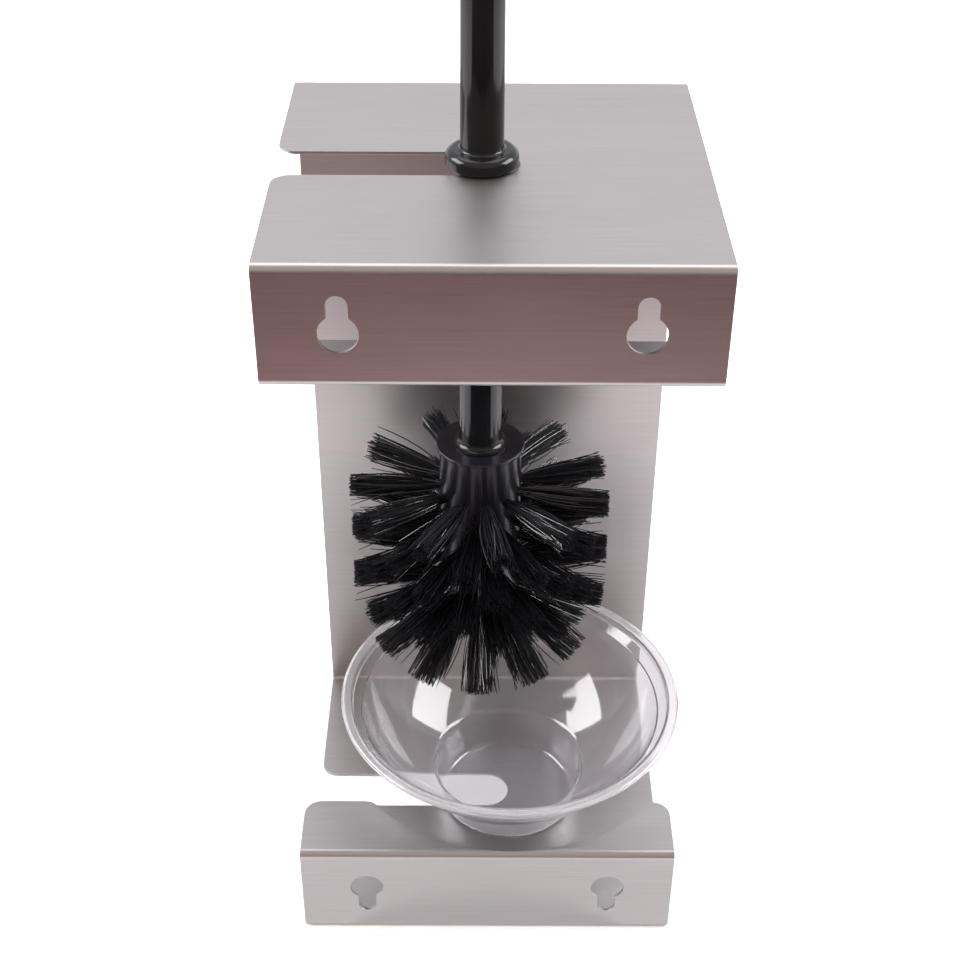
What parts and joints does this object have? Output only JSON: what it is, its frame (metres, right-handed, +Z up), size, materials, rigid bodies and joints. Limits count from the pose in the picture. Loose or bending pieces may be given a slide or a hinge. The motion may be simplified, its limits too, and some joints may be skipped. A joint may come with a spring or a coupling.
{
  "type": "toilet brush holder",
  "caption": "Wall-hung bent sheet holder with a slot that carries a toilet brush by its collar above a clear drip bowl.",
  "frame": {"origin": "in the underside of the bottom plate, on the vertical axis of both slots' round ends", "axes": "+Z up, +Y towards the wall that the keyholed flanges lie on, +X towards the open mouths of the slots"},
  "size_m": [0.1258, 0.122, 0.442],
  "materials": {
    "steel": "brushed along the width",
    "clear_plastic": "clear and glossy",
    "black_plastic": "glossy",
    "bristle": "fine bristles with a slight sheen",
    "anchor_wire": "drawn flat wire"
  },
  "bodies": {
    "holder": {"bent_holder": "steel"},
    "bowl": {"drip_bowl": "clear_plastic"},
    "handle": {"handle": "black_plastic"},
    "head": {"brush_head": "black_plastic", "tufts_ring_1": "bristle", "tufts_ring_2": "bristle", "tufts_ring_3": "bristle", "tufts_ring_4": "bristle", "tufts_ring_5": "bristle", "tufts_dome_upper": "bristle", "tufts_dome_lower": "bristle", "tuft_tip": "bristle", "anchors_ring_1": "anchor_wire", "anchors_ring_2": "anchor_wire", "anchors_ring_3": "anchor_wire", "anchors_ring_4": "anchor_wire", "anchors_ring_5": "anchor_wire", "anchors_dome_upper": "anchor_wire", "anchors_dome_lower": "anchor_wire", "anchor_tip": "anchor_wire"}
  },
  "joints": [
    {"name": "bowl_lift", "type": "slide", "parent": "holder", "child": "bowl", "axis": [0, 0, 1], "range_m": [0, 0.012]},
    {"name": "brush_slide_out", "type": "slide", "parent": "holder", "child": "handle", "axis": [1, 0, 0], "range_m": [-0.004, 0.11]},
    {"name": "head_unscrew", "type": "slide", "parent": "handle", "child": "head", "axis": [0, 0, -1], "range_m": [0, 0.017]}
  ]
}
